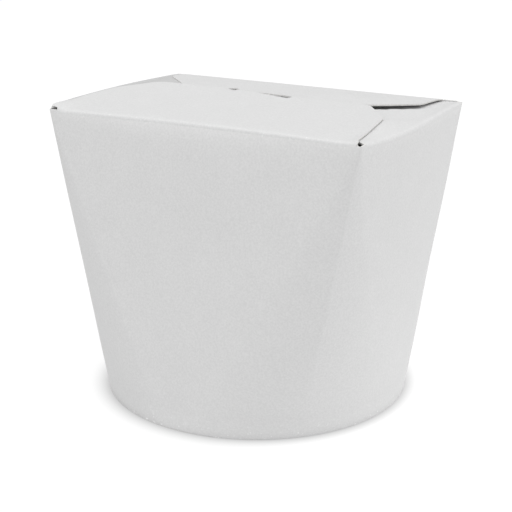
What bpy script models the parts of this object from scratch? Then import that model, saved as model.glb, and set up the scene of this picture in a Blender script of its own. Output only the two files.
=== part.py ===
"""Kebab box: a shut takeaway carton of white paperboard.

A band of board wraps a round base and grows into a rectangular top, which four flaps close: two end
flaps lie underneath, the back flap comes over them, and the front flap lies on top with its tongue
pushed through a slot in the back flap. The pack is shut, so its wall is one solid up to the flaps.

Metres, +Z up. The origin is the centre of the round base, on the surface the box stands on. +X runs
along the long side of the top and -Y is the front, the side that the top flap folds over from.
"""

import math

import bmesh
import bpy
from mathutils import Vector

MM = 0.001

# Driving dimensions of the carton
BASE_DIAMETER = 100.0 * MM
TOP_LENGTH = 110.3 * MM  # between the corners, along X
TOP_DEPTH = 72.5 * MM  # between the long folds, along Y
FOLD_HEIGHT = 93.7 * MM  # from the ground to the folds
BOARD = 0.45 * MM  # thickness of the paperboard
CLEARANCE = 0.3 * MM  # kept between two pieces that touch

# Wall. Straight rulings join the folds to the base circle. Round the base, a ruling is named by its
# angle from the X axis: a panel's few degrees fan out over its whole fold, and the rest run to a corner
END_FOLD_BULGE = 2.3 * MM  # the end folds bow out by this at their middle
END_PANEL_TURN = math.radians(7.5)
LONG_PANEL_TURN = math.radians(6)
RULINGS = (6, 20, 6)  # in a quarter: end panel, corner, long panel
LEVELS = 10
CREASE_TURN = math.radians(45)  # where the soft crease from a corner meets the base
CREASE_SPREAD = math.radians(24)  # to each side of it
CREASE_BEND = math.radians(18)  # sharp part of the bend at the crease
CREASE_FADE = (0.05, 0.5)  # shares of the height over which the crease comes in
DISH_RINGS = (0.97, 0.75, 0.5, 0.25)  # shares of the outline, inside the wall's top
CORNER_HOLE = 1.3 * MM  # radius of the small relief hole at each corner

# Base, pressed up inside the wall like a cup's
RECESS = 6.0 * MM  # height of the disc's underside above the ground
SKIRT_LIFT = 0.9 * MM  # the skirt stops this far above the ground
HEM_HEIGHT = 5.4 * MM  # the wall's bottom edge is rolled in and up to here
SKIRT_RADIUS = 48.3 * MM
TURNED_STEPS = 96

# Flaps
FLAP_CORNER_SET_IN = 1.7 * MM  # the long flaps' side edges start this far in from the corners
LONG_FOLD_LIFT = 0.45 * MM  # the long flaps' folds lie this much above the end flaps'
FRONT_PITCH = math.radians(4.1)  # the front flap rises from its fold
FRONT_SHOULDER = (49.0 * MM, -8.0 * MM)  # where a side edge turns in, (half width, y)
FRONT_FREE_EDGE = (37.8 * MM, 4.0 * MM)
BACK_ROOT_HALF = 51.0 * MM
BACK_SHOULDER = (48.6 * MM, 23.5 * MM)
BACK_FREE_EDGE = (20.5 * MM, -6.0 * MM)  # hidden under the front flap
END_ROOT_HALF = 33.0 * MM
END_TIP_HALF = 13.0 * MM
END_FLAP_REACH = 33.0 * MM  # from the fold to the hidden inner edge
END_PITCH = math.radians(1.5)  # the end flaps fall inward

# Tongue of the front flap and its slot in the back flap
TONGUE_LEFT = -14.0 * MM
TONGUE_RIGHT = 11.0 * MM
TONGUE_DROP_RUN = 1.2 * MM  # length in Y over which the tongue goes down through the slot
TONGUE_SLACK = 0.1 * MM  # further below the back flap than the clearance
TONGUE_REACH = 12.0 * MM  # from the free edge to the tongue's tip
TONGUE_TAPER = 2.5 * MM  # each side comes in by this at the tip
SLOT_BEFORE = 0.45 * MM  # the slot starts this far before the free edge
SLOT_WIDTH = 1.7 * MM
SLOT_MARGIN = 0.5 * MM  # at each end of the tongue

FRONT_Y = -TOP_DEPTH / 2
BACK_Y = TOP_DEPTH / 2
CORNER_X = TOP_LENGTH / 2
END_X = CORNER_X + END_FOLD_BULGE
LAYER = BOARD + CLEARANCE  # from one flap's top face to the next one's
WALL_TOP = FOLD_HEIGHT - LAYER


# ---------------------------------------------------------------- scene, materials, objects


def clear_scene():
    for obj in list(bpy.data.objects):
        bpy.data.objects.remove(obj, do_unlink=True)


def new_collection(name):
    collection = bpy.data.collections.new(name)
    bpy.context.scene.collection.children.link(collection)
    return collection


def srgb(hex_code):
    """Linear colour of an sRGB hex code such as "EFEFEC"."""
    channels = [int(hex_code[i : i + 2], 16) / 255 for i in (0, 2, 4)]
    return [c / 12.92 if c <= 0.04045 else ((c + 0.055) / 1.055) ** 2.4 for c in channels] + [1.0]


def board_material(name, hex_code, roughness):
    material = bpy.data.materials.new(name)
    material.use_nodes = True
    surface = material.node_tree.nodes["Principled BSDF"]
    surface.inputs["Base Color"].default_value = srgb(hex_code)
    surface.inputs["Roughness"].default_value = roughness
    surface.inputs["Metallic"].default_value = 0.0
    return material


def new_object(name, mesh, collection, material=None):
    obj = bpy.data.objects.new(name, mesh)
    if material:
        obj.data.materials.append(material)
    collection.objects.link(obj)
    return obj


def shade(obj, angle=math.radians(30)):
    obj.data.shade_smooth()
    obj.data.set_sharp_from_angle(angle=angle)


def hide_cutter(obj):
    obj.hide_render = True
    obj.display_type = "WIRE"


def cut(obj, cutter):
    modifier = obj.modifiers.new(f"Cut {cutter.name}", "BOOLEAN")
    modifier.operation = "DIFFERENCE"
    modifier.solver = "EXACT"
    modifier.object = cutter


def turned(name, profile, collection, material=None):
    """Solid turned about Z from (radius, height) points that run down its outer side."""
    mesh = bpy.data.meshes.new(name)
    edges = [(i, i + 1) for i in range(len(profile) - 1)]
    mesh.from_pydata([(r, 0, z) for r, z in profile], edges, [])
    obj = new_object(name, mesh, collection, material)
    screw = obj.modifiers.new("Turn", "SCREW")
    screw.axis = "Z"
    screw.steps = TURNED_STEPS
    screw.render_steps = TURNED_STEPS
    screw.use_merge_vertices = True
    screw.merge_threshold = 0.01 * MM
    return obj


def board_sheet(name, rows, collection, material):
    """Board whose top face is a grid of points, given row by row, with its thickness below.

    Points are None at a row's ends where the sheet is narrower: no face is made there.
    """
    bm = bmesh.new()
    grid = [[bm.verts.new(point) if point else None for point in row] for row in rows]
    for row, next_row in zip(grid, grid[1:]):
        for i in range(len(row) - 1):
            corners = (row[i], row[i + 1], next_row[i + 1], next_row[i])
            if all(corners):
                bm.faces.new(corners)
    bm.normal_update()
    if sum(face.normal.z for face in bm.faces) < 0:
        bmesh.ops.reverse_faces(bm, faces=bm.faces)
    mesh = bpy.data.meshes.new(name)
    bm.to_mesh(mesh)
    bm.free()
    obj = new_object(name, mesh, collection, material)
    thickness = obj.modifiers.new("Board", "SOLIDIFY")
    thickness.thickness = BOARD
    thickness.offset = -1
    thickness.use_even_offset = True
    return obj


def spread(low, high, steps):
    return [low + (high - low) * i / steps for i in range(steps + 1)]


# ---------------------------------------------------------------- wall


def end_bulge(y):
    return END_FOLD_BULGE * (1 - (y / BACK_Y) ** 2)


def from_x_axis(turn):
    """Angle between a direction round the base and the nearer end of the X axis."""
    return math.asin(min(1.0, abs(math.sin(turn))))


def fold_point(turn):
    """Point of the top's outline, (x, y), that is ruled to the base at the angle turn."""
    angle = from_x_axis(turn)
    x, y = CORNER_X, BACK_Y
    if angle < END_PANEL_TURN:
        y = BACK_Y * angle / END_PANEL_TURN
        x = CORNER_X + end_bulge(y)
    elif math.pi / 2 - angle < LONG_PANEL_TURN:
        x = CORNER_X * (math.pi / 2 - angle) / LONG_PANEL_TURN
    return math.copysign(x, math.cos(turn)), math.copysign(y, math.sin(turn))


def crease_standout(turn, share):
    """How far the soft crease lifts the wall there; its bend stays the same up to the corner."""
    away = abs(from_x_axis(turn) - CREASE_TURN) / CREASE_SPREAD
    if away >= 1:
        return 0.0
    start, full = CREASE_FADE
    fade = min(1.0, max(0.0, (share - start) / (full - start)))
    half_arc = BASE_DIAMETER / 2 * (1 - share) * CREASE_SPREAD
    return half_arc * math.tan(CREASE_BEND / 2) * fade / 2 * (1 - away) ** 2


def wall_point(turn, height):
    """Point of the wall on the ruling at the angle turn."""
    share = height / FOLD_HEIGHT
    outward = Vector((math.cos(turn), math.sin(turn), 0))
    top = Vector((*fold_point(turn), 0))
    point = (outward * BASE_DIAMETER / 2).lerp(top, share)
    point += outward * crease_standout(turn, share)
    point.z = height
    return point


def wall_turns():
    """Angles of the rulings once round the base."""
    corner_starts = END_PANEL_TURN
    corner_ends = math.pi / 2 - LONG_PANEL_TURN
    quarter = spread(0, corner_starts, RULINGS[0])
    quarter += spread(corner_starts, corner_ends, RULINGS[1])[1:]
    quarter += spread(corner_ends, math.pi / 2, RULINGS[2])[1:]
    mirrored = [math.pi - turn for turn in reversed(quarter)]
    half = quarter[:-1] + mirrored[:-1]
    return half + [turn + math.pi for turn in half]


def wall_top(turn):
    """Height of the wall's top edge: it follows the long folds up from the end folds."""
    corner_turns = math.pi / 2 - END_PANEL_TURN - LONG_PANEL_TURN
    past_end_panel = (from_x_axis(turn) - END_PANEL_TURN) / corner_turns
    return WALL_TOP + LONG_FOLD_LIFT * min(1.0, max(0.0, past_end_panel))


def wall_ring(bm, share):
    return [bm.verts.new(wall_point(turn, wall_top(turn) * share)) for turn in wall_turns()]


def bridge(bm, lower, upper):
    for i in range(len(lower)):
        j = (i + 1) % len(lower)
        bm.faces.new((lower[i], lower[j], upper[j], upper[i]))


def carton_wall(collection, cutters, material):
    bm = bmesh.new()
    rings = [wall_ring(bm, share) for share in spread(0, 1, LEVELS)]
    # The top falls inward under the end flaps, at their pitch
    for share in DISH_RINGS:
        fall = (1 - share) * END_X * math.tan(END_PITCH)
        inner = [bm.verts.new((v.co.x * share, v.co.y * share, WALL_TOP - fall)) for v in rings[LEVELS]]
        rings.append(inner)
    for lower, upper in zip(rings, rings[1:]):
        bridge(bm, lower, upper)
    bm.faces.new(list(reversed(rings[0])))
    bm.faces.new(rings[-1])
    mesh = bpy.data.meshes.new("carton_wall")
    bm.to_mesh(mesh)
    bm.free()
    wall = new_object("carton_wall", mesh, collection, material)
    cut(wall, corner_hole_cutter(cutters))
    cut(wall, base_cutter(cutters))
    shade(wall)
    return wall


def base_cutter(cutters):
    """Room for the pressed-up base, leaving the wall's edge rolled in and up round its skirt."""
    groove_outer = SKIRT_RADIUS + CLEARANCE
    groove_inner = SKIRT_RADIUS - BOARD - CLEARANCE
    hem_inner = groove_inner - BOARD
    ceiling = RECESS + BOARD + CLEARANCE
    groove_floor = SKIRT_LIFT - CLEARANCE
    profile = [
        (0, ceiling),
        (groove_outer, ceiling),
        (groove_outer, groove_floor),
        (groove_inner, groove_floor),
        (groove_inner, HEM_HEIGHT),
        (hem_inner, HEM_HEIGHT),
        (hem_inner, -1 * MM),
        (0, -1 * MM),
    ]
    cutter = turned("base room", profile, cutters)
    hide_cutter(cutter)
    return cutter


def corner_hole_cutter(cutters):
    """Four balls, one at each corner of the top, that leave its small relief holes."""
    bm = bmesh.new()
    for side_x in (-1, 1):
        for side_y in (-1, 1):
            ball = bmesh.ops.create_uvsphere(bm, u_segments=16, v_segments=10, radius=CORNER_HOLE)
            corner = Vector((side_x * CORNER_X, side_y * BACK_Y, WALL_TOP + BOARD))
            bmesh.ops.translate(bm, verts=ball["verts"], vec=corner)
    mesh = bpy.data.meshes.new("corner holes")
    bm.to_mesh(mesh)
    bm.free()
    cutter = new_object("corner holes", mesh, cutters)
    hide_cutter(cutter)
    return cutter


# ---------------------------------------------------------------- base


def base_disc(collection, material):
    """Round base: a disc above the ground with a skirt down into the wall's rolled edge."""
    inner = SKIRT_RADIUS - BOARD
    profile = [
        (0, RECESS + BOARD),
        (SKIRT_RADIUS, RECESS + BOARD),
        (SKIRT_RADIUS, SKIRT_LIFT),
        (inner, SKIRT_LIFT),
        (inner, RECESS),
        (0, RECESS),
    ]
    disc = turned("base_disc", profile, collection, material)
    shade(disc)
    return disc


# ---------------------------------------------------------------- flaps


def front_height(y):
    """Top face of the front flap."""
    return FOLD_HEIGHT + LONG_FOLD_LIFT + math.tan(FRONT_PITCH) * (y - FRONT_Y)


def back_height(y):
    """Top face of the back flap: up from its fold to the slot, then down again under the front flap."""
    slot_y = FRONT_FREE_EDGE[1]
    fold = FOLD_HEIGHT + LONG_FOLD_LIFT
    rise = (front_height(slot_y) - LAYER - fold) / (BACK_Y - slot_y)
    return min(fold + rise * (BACK_Y - y), front_height(y) - LAYER)


def end_height(x):
    """Top face of an end flap, which falls inward from its fold."""
    return FOLD_HEIGHT - math.tan(END_PITCH) * (END_X - abs(x))


def across(half_width, y, z, steps):
    return [(x, y, z) for x in spread(-half_width, half_width, steps)]


def stretch(start, end, steps):
    """Points (half width, y) from start to end, without start itself."""
    return list(zip(spread(start[0], end[0], steps), spread(start[1], end[1], steps)))[1:]


def front_flap(collection, material):
    """Top flap, with its tongue bent down through the slot and on under the back flap."""
    root = (CORNER_X - FLAP_CORNER_SET_IN, FRONT_Y)
    outline = [root] + stretch(root, FRONT_SHOULDER, 4) + stretch(FRONT_SHOULDER, FRONT_FREE_EDGE, 3)
    half_free, free_y = FRONT_FREE_EDGE
    side_steps = 4
    tongue_steps = 6
    # Columns are shares of the width, placed so that the tongue's sides are two of them
    left_share = (TONGUE_LEFT + half_free) / (2 * half_free)
    right_share = (TONGUE_RIGHT + half_free) / (2 * half_free)
    shares = spread(0, left_share, side_steps)[:-1]
    shares += spread(left_share, right_share, tongue_steps)
    shares += spread(right_share, 1, side_steps)[1:]
    rows = [[((2 * s - 1) * half, y, front_height(y)) for s in shares] for half, y in outline]
    for y, inset in tongue_stations(free_y):
        under_back_flap = back_height(y) - LAYER - TONGUE_SLACK
        tongue = [
            (x, y, under_back_flap)
            for x in spread(TONGUE_LEFT + inset, TONGUE_RIGHT - inset, tongue_steps)
        ]
        rows.append([None] * side_steps + tongue + [None] * side_steps)
    return board_sheet("front_flap", rows, collection, material)


def tongue_stations(free_y):
    """(y, how far each side has come in) down the tongue, with a rounded tip."""
    start = free_y + TONGUE_DROP_RUN
    length = TONGUE_REACH - TONGUE_DROP_RUN
    stations = []
    for share in (0.0, 0.5, 0.8, 1.0):
        stations.append((start + length * share, TONGUE_TAPER * share**3))
    return stations


def back_flap(collection, cutters, material):
    root = (BACK_ROOT_HALF, BACK_Y)
    slot_share = (BACK_SHOULDER[1] - FRONT_FREE_EDGE[1]) / (BACK_SHOULDER[1] - BACK_FREE_EDGE[1])
    slot_half = BACK_SHOULDER[0] + slot_share * (BACK_FREE_EDGE[0] - BACK_SHOULDER[0])
    bend = (slot_half, FRONT_FREE_EDGE[1])
    outline = [root] + stretch(root, BACK_SHOULDER, 3)
    outline += stretch(BACK_SHOULDER, bend, 3) + stretch(bend, BACK_FREE_EDGE, 2)
    rows = [across(half, y, back_height(y), 12) for half, y in outline]
    flap = board_sheet("back_flap", rows, collection, material)
    cut(flap, slot_cutter(cutters))
    return flap


def slot_cutter(cutters):
    length = TONGUE_RIGHT - TONGUE_LEFT + 2 * SLOT_MARGIN
    centre_y = FRONT_FREE_EDGE[1] - SLOT_BEFORE + SLOT_WIDTH / 2
    bm = bmesh.new()
    bmesh.ops.create_cube(bm, size=1)
    bmesh.ops.scale(bm, verts=bm.verts, vec=(length, SLOT_WIDTH, 6 * MM))
    mesh = bpy.data.meshes.new("slot")
    bm.to_mesh(mesh)
    bm.free()
    cutter = new_object("slot", mesh, cutters)
    cutter.location = ((TONGUE_LEFT + TONGUE_RIGHT) / 2, centre_y, back_height(centre_y))
    hide_cutter(cutter)
    return cutter


def end_flap(name, side, collection, material):
    """End flap on the side -1 (left) or 1 (right), from its bowed fold to a narrower inner edge."""
    rows = []
    for share in spread(0, 1, 5):
        half = END_ROOT_HALF + (END_TIP_HALF - END_ROOT_HALF) * share
        row = []
        for y in spread(-half, half, 12):
            x = CORNER_X + end_bulge(y) * (1 - share) - END_FLAP_REACH * share
            row.append((side * x, y, end_height(x)))
        rows.append(row)
    return board_sheet(name, rows, collection, material)


# ---------------------------------------------------------------- build


def main():
    clear_scene()
    box = new_collection("kebab box")
    cutters = new_collection("cutters")
    outside = board_material("white coated board", "E9E9E8", 0.6)
    base = board_material("white base board", "E4E4E2", 0.65)

    carton_wall(box, cutters, outside)
    base_disc(box, base)
    end_flap("left_end_flap", -1, box, outside)
    end_flap("right_end_flap", 1, box, outside)
    back_flap(box, cutters, outside)
    front_flap(box, outside)


main()
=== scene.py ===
"""Looks of the kebab box: a shut takeaway carton of white coated paperboard.

Metres, +Z up, the origin under the middle of the round base, +X along the long side of the top and -Y
the front. The board is drawn as what it is, one thin sheet: it runs down the wall, rolls in under the
edge and up inside as a hem, and at the top each panel goes on over its fold into a flap.
"""

import math

import bmesh
import bpy
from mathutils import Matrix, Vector, noise


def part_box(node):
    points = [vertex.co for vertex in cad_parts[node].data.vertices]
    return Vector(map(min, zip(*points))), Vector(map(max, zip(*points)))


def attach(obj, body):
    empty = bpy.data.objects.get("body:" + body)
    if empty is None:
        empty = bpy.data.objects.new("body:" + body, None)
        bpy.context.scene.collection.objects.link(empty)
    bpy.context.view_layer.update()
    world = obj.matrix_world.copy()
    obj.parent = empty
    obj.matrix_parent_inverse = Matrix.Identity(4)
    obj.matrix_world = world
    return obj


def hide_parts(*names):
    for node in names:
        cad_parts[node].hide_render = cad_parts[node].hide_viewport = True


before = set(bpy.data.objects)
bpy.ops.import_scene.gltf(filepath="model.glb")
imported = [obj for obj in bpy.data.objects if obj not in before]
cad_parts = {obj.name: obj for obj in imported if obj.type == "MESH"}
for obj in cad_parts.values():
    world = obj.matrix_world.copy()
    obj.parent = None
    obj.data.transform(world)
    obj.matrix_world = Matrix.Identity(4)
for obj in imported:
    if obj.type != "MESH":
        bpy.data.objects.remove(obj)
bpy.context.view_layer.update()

MM = 0.001
BOARD = 0.45 * MM  # thickness of the paperboard

# The carton's blank, as its CAD nodes have it
BASE_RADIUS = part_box("carton_wall")[1].y
FOLD_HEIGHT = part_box("right_end_flap")[1].z
BACK_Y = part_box("back_flap")[1].y
FRONT_Y = -BACK_Y
END_FOLD_BULGE = 2.3 * MM  # the end folds bow out by this at their middle
CORNER_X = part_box("right_end_flap")[1].x - END_FOLD_BULGE
END_PANEL_TURN = math.radians(7.5)  # each panel fans out from this much of the base circle,
LONG_PANEL_TURN = math.radians(6)  # measured from its middle

# Soft crease from each top corner down the wall
CREASE_TURN = math.radians(45)  # where it meets the base circle
CREASE_SPREAD = math.radians(24)  # how far to each side the wall rises up to it
CREASE_BEND = math.radians(18)
CREASE_FADE = (0.05, 0.5)  # shares of the height between which it comes in
CREASED = {(1, -1): 1.35, (-1, -1): 0.0, (1, 1): 1.0, (-1, 1): 1.0}  # how strong each corner's crease is

# Heights of the folds over FOLD_HEIGHT. Long folds: level, slope and bow over the half length
FRONT_FOLD = (0.33 * MM, 0.52 * MM, -0.75 * MM)
BACK_FOLD_LEFT = (0.28 * MM, 0.2 * MM, -0.1 * MM)
BACK_FOLD_RIGHT = (0.28 * MM, 0.2 * MM, 0.12 * MM)
BACK_CORNER_DROP = 0.38 * MM
BACK_CORNER_START = 52.5 * MM  # the back fold drops to its corners from here
BACK_CORNER_RUN = 2.65 * MM
RIGHT_DIP = 0.45 * MM  # the right fold dips in its front half,
RIGHT_SWELL = 0.5 * MM  # swells in its back half
RIGHT_CLIMB = 0.45 * MM  # and climbs to the back
RIGHT_CORNER_DROP = 0.15 * MM
LEFT_LEVEL = 0.53 * MM
LEFT_STEPS = [(4 * MM, 30 * MM, -0.3 * MM), (32 * MM, 4.25 * MM, -0.25 * MM)]  # (from y, over, by)
LEFT_CLIMB_RUN = 1.6 * MM  # over this it climbs from the front fold's low corner

# Unevenness of the wall
WALL_WAVE = 0.22 * MM
WALL_WAVE_LENGTH = 28 * MM
WALL_WAVE_FOOT = 0.15  # shares of the height over which it comes in above the rim
WALL_WAVE_HEAD = 0.12  # and dies away up to the folds
FRONT_SPRING = 1.0 * MM  # the front wall springs out by this under its fold
FRONT_SPRING_START = 0.6  # shares of the height where that begins and where it is full
FRONT_SPRING_FULL = 0.92
FRONT_SPRING_RUN = 6 * MM  # it comes in over this from each corner

# How finely the board is drawn: rulings of a quarter, and levels from the ground to the folds
END_RULINGS = 30
CORNER_RULINGS = 64
LONG_RULINGS = 42
WALL_LEVELS = 44
FLAP_COLUMNS = 26  # of a flap, from its corner to its middle
SLIT_COLUMNS = 64  # of a long flap, past the slit and on to
SLIT_COLUMNS_END = 13.5 * MM

# Folds and relief holes
FOLD_ROLL = 0.9 * MM  # from the sharp fold line to where its rounding starts
SOFT_ROLL = 1.4 * MM  # the back fold and the right one are softer
FOLD_STRIP = 0.3 * MM  # flat strip of a flap's board that carries the wall on above its top row
ROLL_STEPS = 6
# Relief holes, for each corner's sides in X and Y: how far they reach along the long fold and along the
# end fold, how deep they cut into the wall (below zero the wall stands up instead), and how high the
# long flap's corner springs up over them
HOLES = {
    (1, -1): (1.4 * MM, 2.3 * MM, 0.5 * MM, 0.8 * MM),
    (-1, -1): (2.9 * MM, 0.5 * MM, -0.15 * MM, 1.5 * MM),
    (1, 1): (0.4 * MM, 0.4 * MM, 0.0, 0.0),
    (-1, 1): (0.4 * MM, 0.4 * MM, 0.0, 0.0),
}
STEP = 0.02 * MM  # width over which the wall's edge steps down beside a hole
OPEN_TOP = 0.05 * MM  # where no flap goes on, the wall ends this far below the fold line
HOLE_AT_CORNER = 0.8  # share of its depth that a hole has at the corner
HOLE_END_RUN = 2.2 * MM  # and along the end fold it runs out over this
HOLE_ARC_START = -0.8  # along the long fold it is a round arc, -1 to 1, and the corner is here on it

CORNER_LIFT_FLAT = 0.5 * MM  # next to the corner the flap is lifted in full over this,
CORNER_LIFT_RUN = 6.5 * MM  # and less and less over this along the fold
CORNER_LIFT_REACH = 15 * MM  # and over this away from it

# Bottom edge and base
HEM_TOP = 5.4 * MM
HEM_RADIUS = 48.0 * MM
EDGE_ROLL = 0.6 * MM
SKIRT_RADIUS = 49.1 * MM
BASE_ROLL = 1.4 * MM
BASE_SAG = 0.5 * MM
BASE_HUB = 0.4 * MM  # the middle of the base is one small flat face
BASE_TURNS = 160

# Flaps, (half width, y) along their side edges: at the fold, at the shoulder and at the free edge.
# Both long flaps were creased a millimetre or so to the left
FREE_Y = 4.1 * MM  # free edge of the front flap
FRONT_RIGHT = [(53.7 * MM, FRONT_Y), (52.7 * MM, -34.7 * MM), (48.0 * MM, -7.4 * MM), (37.9 * MM, FREE_Y)]
FRONT_LEFT = [
    (54.4 * MM, FRONT_Y),
    (54.9 * MM, -28 * MM),
    (54.6 * MM, -20.6 * MM),
    (50.6 * MM, -8.3 * MM),
    (39.6 * MM, FREE_Y),
]
FRONT_LEFT_NOSE = [(41.2 * MM, 2.6 * MM), (37.5 * MM, FREE_Y)]  # cut across its last corner
FLAP_MIDDLE = 30 * MM  # a free edge is straight inside of this
BACK_RIGHT = [(48.8 * MM, BACK_Y), (47.7 * MM, 21.2 * MM), (12.5 * MM, -6.6 * MM)]
BACK_LEFT = [(50.2 * MM, BACK_Y), (49.6 * MM, 23.8 * MM), (20.5 * MM, -6.0 * MM)]
FREE_EDGE_LIFT = 3.05 * MM  # of the front flap's free edge above the folds
FREE_EDGE_TILT = 0.007  # it is a little higher on the left
KEPT_HALF = 17 * MM  # a long flap's columns keep their place this far out, and close up beyond
END_TIP_HALF = 13.0 * MM
END_REACH = 33.0 * MM
END_SHOULDER = 7.0 * MM  # an end flap keeps its full width this far in
END_RISE = 3.1 * MM  # an end flap springs up by this where nothing holds it down,
RIGHT_BACK_RISE = 0.4 * MM  # but the right one by only this in its back half,
RIGHT_BACK_START = -10 * MM  # which it comes to from here on
RIGHT_BACK_RUN = 12 * MM  # over this
END_RISE_RUN = 17 * MM
END_FOLD_RUN = 5 * MM  # it takes over from the fold's own height over this
END_NARROWING = 0.03  # share by which it is narrower at the front, past its fold
HELD_MARGIN = 3 * MM  # the board is stiff, so it is pressed down this far outside the flap on top
LEFT_BITE = 0.05 * MM  # the left flap's soft board is pressed into the flaps above it by this
RIGHT_GAP = 0.03 * MM  # the right one is nowhere nearer to them than this
# The right flap gapes: (from y, over, by), widest beside the slit
RIGHT_GAPE = [
    (-36 * MM, 8 * MM, 0.16 * MM),
    (-9 * MM, 14 * MM, 1.5 * MM),
    (14 * MM, 13 * MM, -1.1 * MM),
    (29 * MM, 6 * MM, -0.4 * MM),
]
LAYER = BOARD + 0.12 * MM  # from the front flap's top face to the back flap's under it

# Slit: the front flap's tongue goes down there through the slot in the back flap
SLIT_LEFT = -15.2 * MM
SLIT_RIGHT = 9.8 * MM
SLIT_BEYOND = 1.2 * MM  # what the slit does to the board's edge dies away over this beyond its ends,
SLIT_LEFT_FADE = (3.0 * MM, 2.5 * MM)  # and inside, from this far in and over this, on the left
SLIT_RIGHT_FADE = 18 * MM  # and over this on the right
SLIT_LEFT_SHARE = 0.4  # right at the left end it does only this much,
SLIT_LEFT_RUN = 2.5 * MM  # and comes up to the whole over this
SLIT_SKEW = (1.7 * MM, -1.2 * MM)  # it runs askew by this, at its left and right end
SLIT_SKEW_REACH = 10 * MM  # and takes the board round it along, this far in Y
SLIT_SKEW_SIDE = 8 * MM  # and this far in X
TONGUE_MARGIN = 0.6 * MM
TONGUE_DIP = (0.45 * MM, 0.42 * MM)  # the front flap dips by this into the slit, left and right
TONGUE_DIP_RUN = 1.7 * MM
SLOT_NEAR = 3.4 * MM  # the slot's two long sides, in Y
SLOT_FAR = 5.7 * MM
SLOT_PUSH = (0.5 * MM, 0.35 * MM)  # the tongue has pushed the slot's far side away by this, left and right,
SLOT_LIFT = (0.35 * MM, 0.3 * MM)  # and up by this
SLOT_BOW = 0.15 * MM
SLOT_LIFT_RUN = 4 * MM
BACK_CURL = 0.6 * MM  # the back flap bends down by this to its fold
BACK_CURL_RUN = 6 * MM
BACK_DROOP = 0.45 * MM  # it hangs down by this at its right edge, next to the front flap's corner
BACK_DROOP_START = 14 * MM
BACK_DROOP_RUN = 16 * MM
BACK_DROOP_END = 30 * MM  # from this far back on it doesn't,
BACK_DROOP_FADE = 20 * MM  # and it comes in over this towards the front
NEARLY = 0.01 * MM

# Glued lap down the back
LAP_WIDTH = 12 * MM
LAP_RAMP = 4.5 * MM
LAP_SHARES = (0.014, 0.984)  # it runs over these shares of the wall's height


# ---------------------------------------------------------------- small helpers


def srgb(hex_code):
    """Linear colour of an sRGB hex code."""
    channels = [int(hex_code[i : i + 2], 16) / 255 for i in (0, 2, 4)]
    return [c / 12.92 if c <= 0.04045 else ((c + 0.055) / 1.055) ** 2.4 for c in channels] + [1.0]


def spread(low, high, steps):
    return [low + (high - low) * i / steps for i in range(steps + 1)]


def mix(a, b, share):
    return a + (b - a) * share


def ease(value):
    """0 up to 0, 1 from 1 on, and a smooth S between."""
    value = min(1.0, max(0.0, value))
    return value * value * (3 - 2 * value)


def stepped(at, steps):
    """Sum of smooth steps, each given as where it starts, over how far it goes and how high it is."""
    return sum(height * ease((at - start) / run) for start, run, height in steps)


def toward_corner(length, steps):
    """Distances from a corner, closest together next to it."""
    return [length * (i / steps) ** 1.8 for i in range(steps + 1)]


# ---------------------------------------------------------------- board finishes


def add(tree, kind, settings=None, links=None):
    """Adds a node with its settings and its links, given as {input: socket}."""
    node = tree.nodes.new(kind)
    for name, value in (settings or {}).items():
        if isinstance(name, str) and hasattr(node, name):
            setattr(node, name, value)
        else:
            node.inputs[name].default_value = value
    for name, socket in (links or {}).items():
        tree.links.new(socket, node.inputs[name])
    return node


def new_finish(name):
    material = bpy.data.materials.new(name)
    material.use_nodes = True
    tree = material.node_tree
    return material, tree, tree.nodes["Principled BSDF"]


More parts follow.
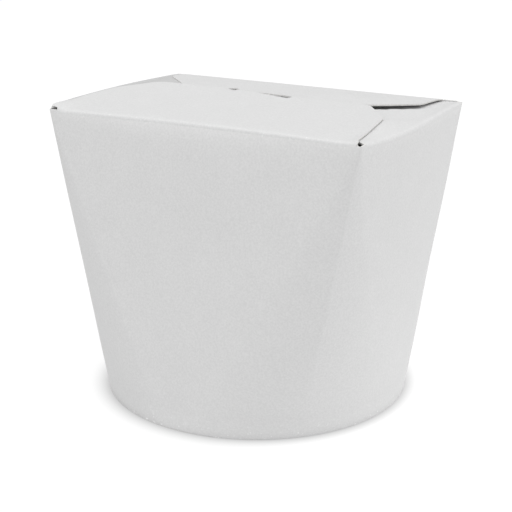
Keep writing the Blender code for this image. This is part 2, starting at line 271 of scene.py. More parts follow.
def coated_paperboard(name, hex_code, roughness):
    """Clay-coated bleached paperboard, rolled smooth but not glossy.

    The coat is thin, so the eye sees a soft, nearly matt white with the fibre mat just showing through as a
    fine mottle, slow clouds where the pulp lay thicker, the odd dark speck, and scuff marks on the folds. On
    the bottom rim the same paler coat is partly painted light.
    """
    material, tree, surface = new_finish(name)
    place = add(tree, "ShaderNodeTexCoord").outputs["Object"]

    # Pulp fibres bunch into flocks of 0.3 to 0.5 mm. They are drawn 0.6 mm wide, or they wouldn't show
    flocks = add(
        tree,
        "ShaderNodeTexNoise",
        {"Scale": 1 / (0.6 * MM), "Detail": 1.0, "Roughness": 0.6},
        {"Vector": place},
    )
    flock_tone = add(
        tree,
        "ShaderNodeMapRange",
        {"From Min": 0.3, "From Max": 0.7, "To Min": 0.955, "To Max": 1.045},
        {"Value": flocks.outputs["Fac"]},
    )
    # Thick and thin places in the sheet, 9 mm across
    clouds = add(tree, "ShaderNodeTexNoise", {"Scale": 1 / (9 * MM), "Detail": 1.0}, {"Vector": place})
    cloud_tone = add(
        tree,
        "ShaderNodeMapRange",
        {"From Min": 0.3, "From Max": 0.7, "To Min": 0.993, "To Max": 1.007},
        {"Value": clouds.outputs["Fac"]},
    )
    tone = add(
        tree,
        "ShaderNodeMath",
        {"operation": "MULTIPLY"},
        {0: flock_tone.outputs["Result"], 1: cloud_tone.outputs["Result"]},
    )
    # A dark speck of bark, up to 0.6 mm across, where the sheet meets the middle of one cell in ten
    cells = add(tree, "ShaderNodeTexVoronoi", {"Scale": 1 / (9 * MM)}, {"Vector": place})
    near = add(
        tree,
        "ShaderNodeMath",
        {"operation": "LESS_THAN", 1: 0.3 / 9},
        {0: cells.outputs["Distance"]},
    )
    pick = add(tree, "ShaderNodeSeparateColor", links={"Color": cells.outputs["Color"]})
    rare = add(tree, "ShaderNodeMath", {"operation": "GREATER_THAN", 1: 0.9}, {0: pick.outputs["Red"]})
    speck = add(
        tree,
        "ShaderNodeMath",
        {"operation": "MULTIPLY"},
        {0: near.outputs["Value"], 1: rare.outputs["Value"]},
    )
    # Where a fold or the bottom rim has rubbed, the coat is polished paler, with scuff marks of under 1 mm.
    # On the bottom rim the paler coat is also painted light, which lifts the shade at the foot of the wall
    wear_and_light = add(tree, "ShaderNodeAttribute", {"attribute_name": "wear_and_painted_light"})
    rubs = add(
        tree,
        "ShaderNodeTexNoise",
        {"Scale": 1 / (1.1 * MM), "Detail": 2.0, "Roughness": 0.6},
        {"Vector": place},
    )
    rub_marks = add(
        tree,
        "ShaderNodeMapRange",
        {"From Min": 0.64, "From Max": 0.7, "To Min": 0.18, "To Max": 0.9},
        {"Value": rubs.outputs["Fac"]},
    )
    scuffs_and_painted_light = add(
        tree,
        "ShaderNodeMath",
        {"operation": "MULTIPLY"},
        {0: wear_and_light.outputs["Fac"], 1: rub_marks.outputs["Result"]},
    )

    coat = add(tree, "ShaderNodeRGB")
    coat.outputs[0].default_value = srgb(hex_code)
    mottled = add(
        tree,
        "ShaderNodeVectorMath",
        {"operation": "SCALE"},
        {0: coat.outputs["Color"], "Scale": tone.outputs["Value"]},
    )
    scuffed_and_lit = add(
        tree,
        "ShaderNodeMix",
        {"data_type": "RGBA", "B": srgb("F2F2F2")},
        {"Factor": scuffs_and_painted_light.outputs["Value"], "A": mottled.outputs["Vector"]},
    )
    specked = add(
        tree,
        "ShaderNodeMix",
        {"data_type": "RGBA", "B": srgb("9A9894")},
        {"Factor": speck.outputs["Value"], "A": scuffed_and_lit.outputs["Result"]},
    )
    tree.links.new(specked.outputs["Result"], surface.inputs["Base Color"])

    # The coat fills the low places between flocks, so those are a little smoother
    gloss = add(
        tree,
        "ShaderNodeMapRange",
        {"From Min": 0.3, "From Max": 0.7, "To Min": roughness - 0.05, "To Max": roughness + 0.07},
        {"Value": flocks.outputs["Fac"]},
    )
    tree.links.new(gloss.outputs["Result"], surface.inputs["Roughness"])
    relief = add(
        tree,
        "ShaderNodeBump",
        {"Strength": 0.35, "Distance": 0.02 * MM},
        {"Height": flocks.outputs["Fac"]},
    )
    tree.links.new(relief.outputs["Normal"], surface.inputs["Normal"])
    surface.inputs["IOR"].default_value = 1.5
    surface.inputs["Metallic"].default_value = 0.0
    return material


def cut_paperboard():
    """Cut edge of the same board, where the die went through.

    The coat stops here and the bare pulp shows: rougher, a touch warmer, and torn into fine plies.
    """
    material, tree, surface = new_finish("bleached paperboard, cut edge")
    place = add(tree, "ShaderNodeTexCoord").outputs["Object"]
    # Torn fibre ends are 0.1 mm. They are drawn at 0.5 mm, or they wouldn't show
    fibres = add(
        tree,
        "ShaderNodeTexNoise",
        {"Scale": 1 / (0.5 * MM), "Detail": 3.0},
        {"Vector": place},
    )
    ramp = add(tree, "ShaderNodeValToRGB", links={"Fac": fibres.outputs["Fac"]})
    ramp.color_ramp.elements[0].position = 0.3
    ramp.color_ramp.elements[0].color = srgb("CCCBC9")
    ramp.color_ramp.elements[1].position = 0.7
    ramp.color_ramp.elements[1].color = srgb("E4E3E1")
    tree.links.new(ramp.outputs["Color"], surface.inputs["Base Color"])
    relief = add(
        tree,
        "ShaderNodeBump",
        {"Strength": 0.5, "Distance": 0.05 * MM},
        {"Height": fibres.outputs["Fac"]},
    )
    tree.links.new(relief.outputs["Normal"], surface.inputs["Normal"])
    surface.inputs["Roughness"].default_value = 0.85
    surface.inputs["IOR"].default_value = 1.5
    return material


coated_board = coated_paperboard("clay-coated paperboard, calendered", "D1D1D1", 0.6)
# The left flap's board is a shade greyer, which is painted shade, and its coat is a little duller
painted_shade_board = coated_paperboard("clay-coated paperboard, painted shade", "BEBEBE", 0.7)
base_board = coated_paperboard("clay-coated paperboard, base stock", "CECECE", 0.66)
board_edge = cut_paperboard()


# ---------------------------------------------------------------- sheets of board


def set_wear_and_light(mesh, amounts):
    attribute = mesh.attributes.new("wear_and_painted_light", "FLOAT", "POINT")
    for item, amount in zip(attribute.data, amounts):
        item.value = amount


def board_piece(name, rows, outside, finish, wear_and_light=None, closed=False, capped=False):
    """Sheet of board whose outer face is a grid of points, with its thickness behind it.

    No face is made at a point that is None. outside(middle) tells which way the outer face looks.
    wear_and_light holds how pale each row is painted, 0 to 1, for rubbing and, on the bottom rim, painted
    light. closed joins each row's ends, and capped fills the last row.
    """
    bm = bmesh.new()
    amounts = []
    grid = []
    for j, row in enumerate(rows):
        line = []
        for point in row:
            line.append(bm.verts.new(point) if point is not None else None)
            if point is not None:
                amounts.append(wear_and_light[j] if wear_and_light else 0.0)
        grid.append(line)
    for row, next_row in zip(grid, grid[1:]):
        for i in range(len(row) if closed else len(row) - 1):
            k = (i + 1) % len(row)
            corners = (row[i], row[k], next_row[k], next_row[i])
            if all(corners):
                bm.faces.new(corners)
    if capped:
        bm.faces.new(grid[-1])
    bm.normal_update()
    face = max(bm.faces, key=lambda f: f.calc_area())
    if face.normal.dot(outside(face.calc_center_median())) < 0:
        bmesh.ops.reverse_faces(bm, faces=bm.faces)
    mesh = bpy.data.meshes.new(name)
    bm.to_mesh(mesh)
    bm.free()
    set_wear_and_light(mesh, amounts)
    mesh.materials.append(finish)
    mesh.materials.append(board_edge)
    piece = bpy.data.objects.new(name, mesh)
    bpy.context.scene.collection.objects.link(piece)
    thickness = piece.modifiers.new("Board", "SOLIDIFY")
    thickness.thickness = BOARD
    thickness.offset = -1
    thickness.material_offset_rim = 1
    settle(piece)
    return piece


def settle(piece):
    """Turns the modifiers into mesh and keeps the cut edges crisp."""
    seen = piece.evaluated_get(bpy.context.evaluated_depsgraph_get())
    mesh = bpy.data.meshes.new_from_object(seen)
    piece.modifiers.clear()
    piece.data = mesh
    mesh.shade_smooth()
    mesh.set_sharp_from_angle(angle=math.radians(40))


def rounded(points, radius, steps=6):
    """The line through the points, with each inner corner rounded to about the radius."""
    line = [points[0]]
    for before, corner, after in zip(points, points[1:], points[2:]):
        corner = Vector(corner)
        back = Vector(before) - corner
        on = Vector(after) - corner
        reach = min(radius, back.length * 0.45, on.length * 0.45)
        start = corner + back.normalized() * reach
        end = corner + on.normalized() * reach
        for s in spread(0, 1, steps):
            line.append(tuple(start.lerp(corner, s).lerp(corner.lerp(end, s), s)))
    line.append(points[-1])
    return line


# ---------------------------------------------------------------- wall


def end_bulge(y):
    return END_FOLD_BULGE * (1 - (y / BACK_Y) ** 2)


def bowed(share, level, slope, bow):
    return FOLD_HEIGHT + level + slope * share + bow * share**2


def front_fold(x):
    """Height of the front fold. The board springs up in the middle and dips at the left corner."""
    return bowed(x / CORNER_X, *FRONT_FOLD)


def back_fold(x):
    drop = BACK_CORNER_DROP * ease((abs(x) - BACK_CORNER_START) / BACK_CORNER_RUN)
    return bowed(x / CORNER_X, *(BACK_FOLD_RIGHT if x > 0 else BACK_FOLD_LEFT)) - drop


def right_fold(y):
    """Height of the right fold. It meets the front fold's height at the corner."""
    share = y / BACK_Y
    swing = math.sin(math.pi * share)
    if share < 0:
        return mix(FOLD_HEIGHT, front_fold(CORNER_X), share**2) + RIGHT_DIP * swing
    drop = RIGHT_CORNER_DROP * ease((share - 0.8) / 0.2)
    return FOLD_HEIGHT + RIGHT_CLIMB * share + RIGHT_SWELL * swing - drop


def left_fold(y):
    """Height of the left fold. It climbs steeply from the front fold's low corner."""
    level = FOLD_HEIGHT + LEFT_LEVEL + stepped(y, LEFT_STEPS)
    return mix(front_fold(-CORNER_X), level, ease((y - FRONT_Y) / LEFT_CLIMB_RUN))


def crease_standout(angle, share):
    """How far the soft crease from a corner lifts the wall."""
    away = abs(angle - CREASE_TURN) / CREASE_SPREAD
    if away >= 1:
        return 0.0
    start, full = CREASE_FADE
    fade = min(1.0, max(0.0, (share - start) / (full - start)))
    half_arc = BASE_RADIUS * (1 - share) * CREASE_SPREAD
    return half_arc * math.tan(CREASE_BEND / 2) * fade / 2 * (1 - away) ** 2


def wall_top(r):
    """How far below its fold line a ruling of the wall ends."""
    long_reach, end_reach, depth, _ = HOLES[r.corner]
    if r.panel == "corner":
        return OPEN_TOP + max(0.0, depth) * HOLE_AT_CORNER
    reach = long_reach if r.panel in ("front", "back") else end_reach
    if r.from_corner >= max(reach, flap_gap(r)):
        return r.roll + FOLD_STRIP
    if r.panel not in ("front", "back"):
        return OPEN_TOP + max(0.0, depth) * HOLE_AT_CORNER * ease(1 - r.from_corner / HOLE_END_RUN)
    across = mix(HOLE_ARC_START, 1, r.from_corner / reach)
    return OPEN_TOP + depth * math.sqrt(max(0.0, 1 - across**2))


def side_line(side_x, side_y):
    """Side edge of a long flap, from its fold inward."""
    if side_y < 0:
        return FRONT_RIGHT if side_x > 0 else FRONT_LEFT
    return BACK_RIGHT if side_x > 0 else BACK_LEFT


def root_half(side_x, side_y):
    """Half width of a long flap at its fold."""
    return side_line(side_x, side_y)[0][0]


def flap_gap(r):
    """How far from the corner the flap over a ruling begins."""
    return CORNER_X - root_half(*r.corner) if r.panel in ("front", "back") else 0.0


class Ruling:
    """One straight line of the wall's board, from the base circle up to its fold or corner."""

    def __init__(self, side_x, side_y, angle, x, y, panel, from_corner):
        self.angle = angle
        self.outward = Vector((side_x * math.cos(angle), side_y * math.sin(angle), 0))
        self.panel = panel  # "front", "back", "left", "right" or "corner"
        self.corner = (side_x, side_y)
        self.from_corner = from_corner
        self.x = side_x * x
        self.y = side_y * y
        if panel == "front" or (panel == "corner" and side_y < 0):
            height = front_fold(self.x)
        elif panel == "back" or panel == "corner":
            height = back_fold(self.x)
        elif panel == "right":
            height = right_fold(self.y)
        else:
            height = left_fold(self.y)
        self.fold = Vector((self.x, self.y, height))
        self.foot = self.outward * BASE_RADIUS
        self.down = (self.foot - self.fold).normalized()
        self.roll = SOFT_ROLL if panel in ("back", "right") else FOLD_ROLL
        self.top = self.fold + self.down * wall_top(self)

    def point(self, share):
        """Point of the outer face, with share 0 on the ground and 1 at the fold's height."""
        point = self.foot.lerp(self.fold, share)
        stand = crease_standout(self.angle, share) * CREASED[self.corner] + wave(point, share)
        return point + self.outward * (stand + spring(self.panel, self.x, share))


def wave(point, share):
    """The panels were bent up out of flat board and are not quite even."""
    hold = ease(share / WALL_WAVE_FOOT) * ease((1 - share) / WALL_WAVE_HEAD)
    return WALL_WAVE * hold * noise.noise(point / WALL_WAVE_LENGTH)


def spring(panel, x, share):
    """Below the front fold the board springs out a little, and curls in again up to the fold."""
    if panel != "front":
        return 0.0
    along = (1 - (x / CORNER_X) ** 2) * ease((CORNER_X - abs(x)) / FRONT_SPRING_RUN)
    rise = ease((share - FRONT_SPRING_START) / (FRONT_SPRING_FULL - FRONT_SPRING_START))
    curl = 1 - max(0.0, (share - FRONT_SPRING_FULL) / (1 - FRONT_SPRING_FULL)) ** 2
    return FRONT_SPRING * along * rise * curl


def with_step(distances, place):
    """The distances with a close pair of them at the place, for a step in the board's edge there."""
    kept = [d for d in distances if abs(d - place) > 4 * STEP]
    return sorted(kept + [place - STEP, place])


def quarter(side_x, side_y):
    """Rulings of a quarter of the wall, from the middle of an end to the middle of a long side."""
    end = "right" if side_x > 0 else "left"
    long_side = "back" if side_y > 0 else "front"
    rulings = []
    long_reach, end_reach = HOLES[side_x, side_y][:2]
    long_start = max(long_reach, CORNER_X - root_half(side_x, side_y))
    for d in reversed(with_step(toward_corner(BACK_Y, END_RULINGS)[1:], end_reach)):
        y = BACK_Y - d
        angle = END_PANEL_TURN * y / BACK_Y
        rulings.append(Ruling(side_x, side_y, angle, CORNER_X + end_bulge(y), y, end, d))
    for angle in spread(END_PANEL_TURN, math.pi / 2 - LONG_PANEL_TURN, CORNER_RULINGS):
        rulings.append(Ruling(side_x, side_y, angle, CORNER_X, BACK_Y, "corner", 0.0))
    for d in with_step(toward_corner(CORNER_X, LONG_RULINGS)[1:], long_start):
        x = CORNER_X - d
        angle = math.pi / 2 - LONG_PANEL_TURN * x / CORNER_X
        rulings.append(Ruling(side_x, side_y, angle, x, BACK_Y, long_side, d))
    return rulings


def all_rulings():
    """Once round the box, from the middle of the right end by way of the back."""
    back_right = quarter(1, 1)
    back_left = quarter(-1, 1)[::-1][1:]
    front_left = quarter(-1, -1)[1:]
    front_right = quarter(1, -1)[::-1][1:-1]
    return back_right + back_left + front_left + front_right


RULINGS = all_rulings()


def roll(corner, away, onward, reach, steps):
    """Rounded turn of the board at a fold: it comes along away and leaves along onward."""
    return [corner + (away * (1 - s) ** 2 + onward * s**2) * reach for s in spread(0, 1, steps)]


def wall_board():
    reach = EDGE_ROLL * 0.85
    lines = []
    for r in RULINGS:
        hem = []
        inner_foot = r.outward * HEM_RADIUS
        for z in spread(HEM_TOP, EDGE_ROLL, 4)[:-1]:
            hem.append(inner_foot + Vector((0, 0, z)))
        hem += roll(inner_foot, Vector((0, 0, 1)), r.outward, reach, 4)
        hem += roll(r.foot, -r.outward, -r.down, reach, 5)
        start = reach / (r.foot - r.fold).length
        top_share = (r.top - r.foot).length / (r.fold - r.foot).length
        climb = [r.point(share) for share in spread(start, top_share, WALL_LEVELS)[1:-1]] + [r.top]
        lines.append(hem + climb)
    rows = [list(row) for row in zip(*lines)]
    # The 11 rows round the rim, which the box slides about on, are rubbed, and a little also the last row,
    # under the folds. On these rows the paler coat is partly painted light, which lifts the shade at the
    # foot of the wall and under the folds
    wear_and_light = [0.0] * 4 + [1.0] * 11 + [0.6, 0.3] + [0.0] * (WALL_LEVELS - 3) + [0.4]
    return board_piece("wall_board", rows, lambda p: Vector((p.x, p.y, 0)), coated_board, wear_and_light, closed=True)


# ---------------------------------------------------------------- flaps


def corner_lift(x):
    """How far the front flap springs up at its corners, where the relief holes cut its fold."""
    lift = HOLES[(1 if x > 0 else -1), -1][3]
    return lift * ease(1 - (CORNER_X - abs(x) - CORNER_LIFT_FLAT) / CORNER_LIFT_RUN)


def front_top(x, y):
    """Top face of the front flap."""
    share = (y - FRONT_Y) / (FREE_Y - FRONT_Y)
    free = FOLD_HEIGHT + FREE_EDGE_LIFT - FREE_EDGE_TILT * x
    return mix(front_fold(x), free, share) + corner_lift(x) * ease(1 - (y - FRONT_Y) / CORNER_LIFT_REACH)


def droop(x, y):
    across = ease((x - BACK_DROOP_START) / BACK_DROOP_RUN)
    return BACK_DROOP * across * ease((BACK_DROOP_END - y) / BACK_DROOP_FADE)


def back_top(x, y):
    """Top face of the back flap: up from its fold to the slot, then down under the front flap."""
    if y < FREE_Y:
        return front_top(x, y) - LAYER - droop(x, y)
    share = (BACK_Y - y) / (BACK_Y - FREE_Y)
    sprung = mix(back_fold(x) + BACK_CURL, front_top(x, FREE_Y) - LAYER, share) - droop(x, y)
    return sprung - BACK_CURL * max(0.0, 1 - (BACK_Y - y) / BACK_CURL_RUN) ** 2


def end_top(side, x, y, reach, fold_height):
    """Top face of an end flap. It springs up under the long flaps, which hold it down where they reach."""
    back_share = ease((y - RIGHT_BACK_START) / RIGHT_BACK_RUN) if side > 0 else 0.0
    held = FOLD_HEIGHT + mix(END_RISE, RIGHT_BACK_RISE, back_share) * ease(reach / END_RISE_RUN)
    for side_y, top in ((-1, front_top(x, y)), (1, back_top(x, max(y, FREE_Y)))):
        half = half_at(side_line(side, side_y), y)
        covered = ease((half + HELD_MARGIN - abs(x)) / HELD_MARGIN)
        held -= covered * max(0.0, held - (top - under_flap(side, y)))
    return mix(fold_height, held, ease(reach / END_FOLD_RUN))


def under_flap(side, y):
    """How far an end flap's top face is below the long flaps' top faces."""
    if side < 0:
        return BOARD - LEFT_BITE
    return BOARD + RIGHT_GAP + stepped(y, RIGHT_GAPE)


def fold_column(side_x, side_y, along, panel):
    """The ruling that meets a fold at the distance along from the fold's middle."""
    if panel in ("front", "back"):
        angle = math.pi / 2 - LONG_PANEL_TURN * along / CORNER_X
        return Ruling(side_x, side_y, angle, along, BACK_Y, panel, CORNER_X - along)
    angle = END_PANEL_TURN * along / BACK_Y
    return Ruling(side_x, side_y, angle, CORNER_X + end_bulge(along), along, panel, BACK_Y - along)


def long_columns(side_y):
    """Rulings of a long flap, closest together at its corners and round the slit."""
    places = spread(-KEPT_HALF, SLIT_COLUMNS_END, SLIT_COLUMNS)
    for side_x in (-1, 1):
        half = root_half(side_x, side_y)
        start = max(HOLES[side_x, side_y][0], CORNER_X - half)
        near = with_step(toward_corner(CORNER_X, FLAP_COLUMNS), start)
        outer = [d for d in near if CORNER_X - half <= d < CORNER_X - KEPT_HALF] + [CORNER_X - half]
        places += [side_x * (CORNER_X - d) for d in outer]
    panel = "back" if side_y > 0 else "front"
    return [fold_column(1 if x >= 0 else -1, side_y, abs(x), panel) for x in sorted(set(places))]


def fold_rows(columns, ahead, lift=lambda r: 0.0):
    """Rows of a flap's board over its fold, left out where a relief hole takes the board away.

    ahead(ruling) is a point that the board heads for past the fold, and lift(ruling) how far it springs up.
    """
    paths = []
    for r in columns:
        onward = (ahead(r) - r.fold).normalized()
        path = [r.fold + r.down * (r.roll + FOLD_STRIP)]
        for s, point in zip(spread(0, 1, ROLL_STEPS), roll(r.fold, r.down, onward, r.roll, ROLL_STEPS)):
            path.append(point + Vector((0, 0, lift(r) * ease(s))))
        paths.append(path)
    rows = []
    for j in range(len(paths[0])):
        row = []
        for r, path in zip(columns, paths):
            reach = HOLES[r.corner][0 if r.panel in ("front", "back") else 1]
            row.append(path[j] if j > ROLL_STEPS * 0.7 or r.from_corner >= reach - STEP else None)
        rows.append(row)
    return rows


def wear_and_painted_light(peak):
    return [peak * 0.3] + [peak * (0.4 + 0.6 * math.sin(math.pi * s)) for s in spread(0, 1, ROLL_STEPS)]


def half_at(line, y):
    """Half width where a flap's side line passes y."""
    for (half_a, y_a), (half_b, y_b) in zip(line, line[1:]):
        if min(y_a, y_b) <= y <= max(y_a, y_b) and y_a != y_b:
            return mix(half_a, half_b, (y - y_a) / (y_b - y_a))
    first, last = line[0], line[-1]
    return last[0] if abs(y - last[1]) < abs(y - first[1]) else first[0]


def column_x(r, line, y):
    """Where a column stands at y: the outer ones close up as the flap narrows."""
    if abs(r.x) <= KEPT_HALF:
        return r.x
    out = (abs(r.x) - KEPT_HALF) / (line[0][0] - KEPT_HALF)
    return math.copysign(KEPT_HALF + out * (half_at(line, y) - KEPT_HALF), r.x)


def slit_shift(x, y):
    """Along Y: the slit runs askew, and the board round it with it."""
    share = min(1.0, max(0.0, (x - SLIT_LEFT) / (SLIT_RIGHT - SLIT_LEFT)))
    outside = max(SLIT_LEFT - x, x - SLIT_RIGHT, 0.0)
    near = ease(1 - abs(y - FREE_Y) / SLIT_SKEW_REACH) * ease(1 - outside / SLIT_SKEW_SIDE)
    return mix(*SLIT_SKEW, share) * near


def slit_ends(x, left, right):
    """Value at the slit's left and right end, dying away towards its middle and beyond its ends."""
    if x < SLIT_LEFT or x > SLIT_RIGHT:
        outside = max(SLIT_LEFT - x, x - SLIT_RIGHT)
        return (left * SLIT_LEFT_SHARE if x < 0 else right) * ease(1 - outside / SLIT_BEYOND)
    from_left = x - SLIT_LEFT
    fade_start, fade_run = SLIT_LEFT_FADE
    left_share = mix(SLIT_LEFT_SHARE, 1.0, ease(from_left / SLIT_LEFT_RUN))
    left_share *= ease(1 - (from_left - fade_start) / fade_run)
    return left * left_share + right * ease(1 - (SLIT_RIGHT - x) / SLIT_RIGHT_FADE)


def front_ahead(r):
    y = FRONT_Y + 5 * MM
    share = (y - FRONT_Y) / (FREE_Y - FRONT_Y)
    return Vector((r.x, y, mix(front_fold(r.x), front_top(0, FREE_Y), share)))


def front_flap():
    columns = long_columns(-1)
    rows = fold_rows(columns, front_ahead, lambda r: corner_lift(r.x))
    wear_and_light = wear_and_painted_light(0.7)

    right = rounded([*FRONT_RIGHT, (FLAP_MIDDLE, FREE_Y)], radius=0.9 * MM)
    left = rounded([*FRONT_LEFT[:-1], *FRONT_LEFT_NOSE, (FLAP_MIDDLE, FREE_Y)], radius=2.2 * MM)
    # Rows along Y, closest together at the free edge
    stations = spread(FRONT_Y + FOLD_ROLL, -6 * MM, 14) + spread(-6 * MM, 2.4 * MM, 8)[1:]
    stations += spread(2.4 * MM, FREE_Y, 6)[1:]
    for y in stations[1:]:
        row = []
        for r in columns:
            x = column_x(r, right if r.x > 0 else left, y)
            dip = slit_ends(x, *TONGUE_DIP) * ease((y - FREE_Y) / TONGUE_DIP_RUN + 1)
            row.append(Vector((x, y + slit_shift(x, y), front_top(x, y) - dip)))
        rows.append(row)
        wear_and_light.append(0.0)
    edge = rows[-1]
    middle = (SLIT_LEFT + SLIT_RIGHT) / 2
    half = (SLIT_RIGHT - SLIT_LEFT) / 2 - TONGUE_MARGIN
    for ahead, down, inset in tongue_path():
        row = []
        for point in edge:
            out = (point.x - middle) / half
            step = Vector((-out * inset, ahead, down))
            row.append(point + step if abs(out) <= 1 else None)
        rows.append(row)
        wear_and_light.append(0.0)
    return board_piece("front_flap_board", rows, lambda p: Vector((0, -0.3, 1)), coated_board, wear_and_light)


def tongue_path():
    """(along Y, along Z, how far each side comes in) down through the slot and on under the back flap."""
    run_down = 1.3 * MM
    under = -(LAYER + BOARD + 0.2 * MM)
    fall = math.tan(math.radians(4.5))
    length = 9 * MM
    narrowing = 2.5 * MM
    steps = [(run_down * s, under * ease(s), 0.0) for s in (0.15, 0.3, 0.5, 0.7, 0.85, 1.0)]
    for s in spread(0, 1, 6)[1:]:
        steps.append((run_down + length * s, under - fall * length * s, narrowing * s**3))
    return steps


def back_ahead(r):
    y = BACK_Y - 3 * MM
    return Vector((r.x, y, back_top(r.x, y)))


def back_flap():
    columns = long_columns(1)
    rows = fold_rows(columns, back_ahead)
    wear_and_light = wear_and_painted_light(0.8)

    right = rounded(BACK_RIGHT, radius=1.2 * MM)
    left = rounded(BACK_LEFT, radius=3 * MM)
    # Rows along Y, closest together just behind the slot
    stations = spread(BACK_Y - SOFT_ROLL, 26 * MM, 10) + spread(26 * MM, 12 * MM, 8)[1:]
    stations += spread(12 * MM, SLOT_FAR, 12)[1:] + spread(SLOT_FAR, SLOT_NEAR, 3)[1:]
    stations += spread(SLOT_NEAR, -6 * MM, 6)[1:]
    for y in stations[1:]:
        row = []
        for r in columns:
            x = column_x(r, right if r.x > 0 else left, y)
            if SLIT_LEFT < x < SLIT_RIGHT and SLOT_NEAR < y < SLOT_FAR - NEARLY:
                row.append(None)
                continue
            far = ease(1 - abs(y - SLOT_FAR) / SLOT_LIFT_RUN) if y >= SLOT_FAR - NEARLY else 0.0
            push = slit_ends(x, *SLOT_PUSH) * far
            lift = (slit_ends(x, *SLOT_LIFT) + SLOT_BOW * inside_slit(x)) * far
            row.append(Vector((x, y + slit_shift(x, y) + push, back_top(x, y) + lift)))
        rows.append(row)
        wear_and_light.append(0.0)
    return board_piece("back_flap_board", rows, lambda p: Vector((0, 0.3, 1)), coated_board, wear_and_light)


def inside_slit(x):
    return ease((x - SLIT_LEFT) / (3 * MM)) * ease((SLIT_RIGHT - x) / (3 * MM))


def end_ahead(r):
    side = r.corner[0]
    reach = 2 * MM
    x = r.x - side * reach
    return Vector((x, r.y, end_top(side, x, r.y, reach, r.fold.z)))


def end_flap(side, name):
    panel = "right" if side > 0 else "left"
    columns = []
    for side_y in (-1, 1):
        start = HOLES[side, side_y][1]
        places = [d for d in with_step(toward_corner(BACK_Y, FLAP_COLUMNS), start) if d >= start - STEP]
        columns += [fold_column(side, side_y, BACK_Y - d, panel) for d in places[:: -side_y]][side_y > 0 :]
    rows = fold_rows(columns, end_ahead)
    wear_and_light = wear_and_painted_light(0.3)
    for reach in spread(SOFT_ROLL, END_REACH, 30)[1:]:
        narrowed = max(0.0, reach - END_SHOULDER) / (END_REACH - END_SHOULDER)
        row = []
        for r in columns:
            half = BACK_Y - HOLES[r.corner][1]
            y = r.y * mix(1.0, END_TIP_HALF / half, narrowed)
            if y < 0:
                y *= 1 - END_NARROWING * ease(reach / (3 * MM))
            x = side * (CORNER_X + end_bulge(r.y) - reach)
            row.append(Vector((x, y, end_top(side, x, y, reach, r.fold.z))))
        rows.append(row)
        wear_and_light.append(0.0)
    # The left flap takes the board that is a shade greyer, which is painted shade
    finish = coated_board if side > 0 else painted_shade_board
    return board_piece(name, rows, lambda p: Vector((0, 0, 1)), finish, wear_and_light)


# ---------------------------------------------------------------- base and glued lap


def pressed_base():
    """Disc pressed up inside the wall, with its skirt turned down between the wall and the hem."""
    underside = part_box("base_disc")[1].z - BOARD
    skirt_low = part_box("base_disc")[0].z
    profile = [(SKIRT_RADIUS, z) for z in spread(skirt_low, underside - 1.0 * MM, 3)]
    corner = Vector((SKIRT_RADIUS, underside + BOARD))
    for point in roll(corner, Vector((0, -1)), Vector((-1, 0)), BASE_ROLL, 5):
        profile.append((point.x, point.y))
    for r in spread(SKIRT_RADIUS - BASE_ROLL, BASE_HUB, 22)[1:]:
        profile.append((r, underside + BOARD - BASE_SAG * (1 - (r / SKIRT_RADIUS) ** 2)))
    rows = []
    turns = spread(0, 2 * math.pi, BASE_TURNS)[:-1]
    for r, z in profile:
        rows.append([Vector((r * math.cos(t), r * math.sin(t), z)) for t in turns])
    up = Vector((0, 0, 1))
    return board_piece("pressed_base", rows, lambda p: up, base_board, closed=True, capped=True)


def glued_lap():
    """Outer end of the wall's board, glued over the first panel along the back left crease."""
    start = min(
        (i for i, r in enumerate(RULINGS) if r.panel == "corner" and r.x < 0 and r.y > 0),
        key=lambda i: abs(RULINGS[i].angle - CREASE_TURN),
    )
    # Rulings from the crease to just past the middle of the back, for the lap to be laid along
    chain = []
    i = start
    while RULINGS[i].x < 1 * MM:
        chain.append(RULINGS[i])
        i -= 1
    across = [*spread(0, LAP_RAMP, 5), *spread(LAP_RAMP, LAP_WIDTH, 8)[1:]]
    rows = []
    for share in spread(*LAP_SHARES, 48):
        line = [r.point(share) for r in chain]
        row = []
        for s in across:
            place, along = walk(line, s)
            up = Vector((0, 0, 1))
            out = along.cross(up)
            if out.dot(Vector((place.x, place.y, 0))) < 0:
                out = -out
            row.append(place + out.normalized() * BOARD * ease(s / LAP_RAMP))
        rows.append(row)
    return board_piece("glued_lap", rows, lambda p: Vector((p.x, p.y, 0)), coated_board)


def walk(line, distance):
    """Point at the distance along the line, and the direction there."""
    for a, b in zip(line, line[1:]):
        step = (b - a).length
        if distance <= step and step > 0:
            return a.lerp(b, distance / step), (b - a).normalized()
        distance -= step
    return line[-1].copy(), (line[-1] - line[-2]).normalized()


def fit(piece, slot, *nodes):
    """Attaches a piece to its body and hides the CAD nodes that it stands for. slot is not used."""
    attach(piece, "root")
    if nodes:
        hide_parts(*nodes)


fit(wall_board(), "coated_board", "carton_wall")
fit(glued_lap(), "coated_board")
fit(pressed_base(), "base_board", "base_disc")
fit(end_flap(-1, "left_flap"), "coated_board", "left_end_flap")
fit(end_flap(1, "right_flap"), "coated_board", "right_end_flap")
fit(back_flap(), "coated_board", "back_flap")
fit(front_flap(), "coated_board", "front_flap")


# ---------------------------------------------------------------- floor, light and camera


FLOOR_GLOW = 0.86
FLOOR_GLOW_IN_PAINTED_SHADOW = 0.465
PAINTED_SHADOW_RUN = 8 * MM  # painted contact shadow: the floor's glow fades over this up to the box's edge
# Painted pool of light on the floor to the right of the box
POOL_MIDDLE = (85 * MM, 5 * MM, 0)
POOL_RADIUS = 90 * MM
POOL_GAIN = 1.3
FLOOR_HALF = 4.0
SKY_LEVEL = 0.385
SKY_SLOPE = (0.1, -0.11, 0.8)  # brightest overhead, and a little brighter in front and on the right
LIGHTS_AIM = (0, 0, 0.05)
CAMERA_PLACE = (203.77 * MM, -340.55 * MM, 169.97 * MM)
CAMERA_TILT = 72.244  # degrees from straight down
CAMERA_TURN = 30.952
CAMERA_LENS = 88.33


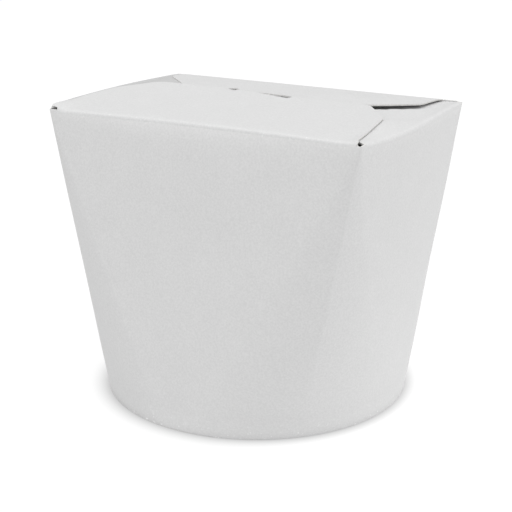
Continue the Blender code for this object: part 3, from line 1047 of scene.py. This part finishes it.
def floor_finish():
    """Opal white floor that glows evenly like a light table, with a painted contact shadow where its glow
    fades up to the box's edge, and a painted pool of light to the right of the box.
    """
    material, tree, surface = new_finish("white studio floor")
    surface.inputs["Base Color"].default_value = srgb("707070")
    surface.inputs["Roughness"].default_value = 0.9
    surface.inputs["Specular IOR Level"].default_value = 0.0
    surface.inputs["Emission Color"].default_value = srgb("FFFFFF")
    place = add(tree, "ShaderNodeTexCoord").outputs["Object"]
    from_middle = add(tree, "ShaderNodeVectorMath", {"operation": "LENGTH"}, {0: place})
    # Painted contact shadow: the glow is dimmed towards the box's edge
    nearness = add(
        tree,
        "ShaderNodeMapRange",
        {"From Min": BASE_RADIUS + PAINTED_SHADOW_RUN, "From Max": BASE_RADIUS, "To Min": 0.0, "To Max": 1.0},
        {"Value": from_middle.outputs["Value"]},
    )
    painted_shadow_depth = add(tree, "ShaderNodeMath", {"operation": "POWER", 1: 2.0}, {0: nearness.outputs["Result"]})
    glow = add(
        tree,
        "ShaderNodeMapRange",
        {"From Min": 0.0, "From Max": 1.0, "To Min": FLOOR_GLOW, "To Max": FLOOR_GLOW_IN_PAINTED_SHADOW},
        {"Value": painted_shadow_depth.outputs["Value"]},
    )
    # A painted pool of extra light: the floor glows brighter to the right of the box, and that fills the
    # lower part of its wall
    from_pool = add(
        tree,
        "ShaderNodeVectorMath",
        {"operation": "DISTANCE", 1: POOL_MIDDLE},
        {0: place},
    )
    pool = add(
        tree,
        "ShaderNodeMapRange",
        {"From Min": POOL_RADIUS, "From Max": 0.0, "To Min": 1.0, "To Max": POOL_GAIN},
        {"Value": from_pool.outputs["Value"]},
    )
    strength = add(
        tree,
        "ShaderNodeMath",
        {"operation": "MULTIPLY"},
        {0: glow.outputs["Result"], 1: pool.outputs["Result"]},
    )
    tree.links.new(strength.outputs["Value"], surface.inputs["Emission Strength"])
    return material


def studio_floor():
    half = FLOOR_HALF
    corners = [(-half, -half, 0), (half, -half, 0), (half, half, 0), (-half, half, 0)]
    mesh = bpy.data.meshes.new("studio_floor")
    mesh.from_pydata(corners, [], [(0, 1, 2, 3)])
    mesh.materials.append(floor_finish())
    floor = bpy.data.objects.new("studio_floor", mesh)
    bpy.context.scene.collection.objects.link(floor)


def soft_light(name, place, size, power):
    light = bpy.data.lights.new(name, "AREA")
    light.shape = "DISK"
    light.size = size
    light.energy = power
    lamp = bpy.data.objects.new(name, light)
    lamp.location = place
    lamp.rotation_euler = (Vector(LIGHTS_AIM) - Vector(place)).to_track_quat("-Z", "Y").to_euler()
    bpy.context.scene.collection.objects.link(lamp)


def studio_light():
    world = bpy.data.worlds.new("white studio")
    world.use_nodes = True
    tree = world.node_tree
    sky = tree.nodes["Background"]
    sky.inputs["Color"].default_value = srgb("FFFFFF")
    direction = add(tree, "ShaderNodeTexCoord").outputs["Generated"]
    slope = add(
        tree,
        "ShaderNodeVectorMath",
        {"operation": "DOT_PRODUCT", 1: SKY_SLOPE},
        {0: direction},
    )
    brightness = add(tree, "ShaderNodeMath", {"operation": "ADD", 1: SKY_LEVEL}, {0: slope.outputs["Value"]})
    tree.links.new(brightness.outputs["Value"], sky.inputs["Strength"])
    bpy.context.scene.world = world
    soft_light("softbox on the right", (0.9, 0.7, 0.14), size=0.8, power=2.85)
    soft_light("softbox over the front", (0.0, -0.31, 1.21), size=0.6, power=3.8)


def studio_camera():
    camera = bpy.data.objects.new("camera", bpy.data.cameras.new("camera"))
    camera.data.sensor_fit = "HORIZONTAL"
    camera.data.sensor_width = 36
    camera.data.lens = CAMERA_LENS
    camera.data.clip_start = 0.01
    camera.location = CAMERA_PLACE
    camera.rotation_euler = (math.radians(CAMERA_TILT), 0, math.radians(CAMERA_TURN))
    bpy.context.scene.collection.objects.link(camera)
    bpy.context.scene.camera = camera


studio_floor()
studio_light()
studio_camera()
bpy.context.scene.view_settings.view_transform = "Standard"
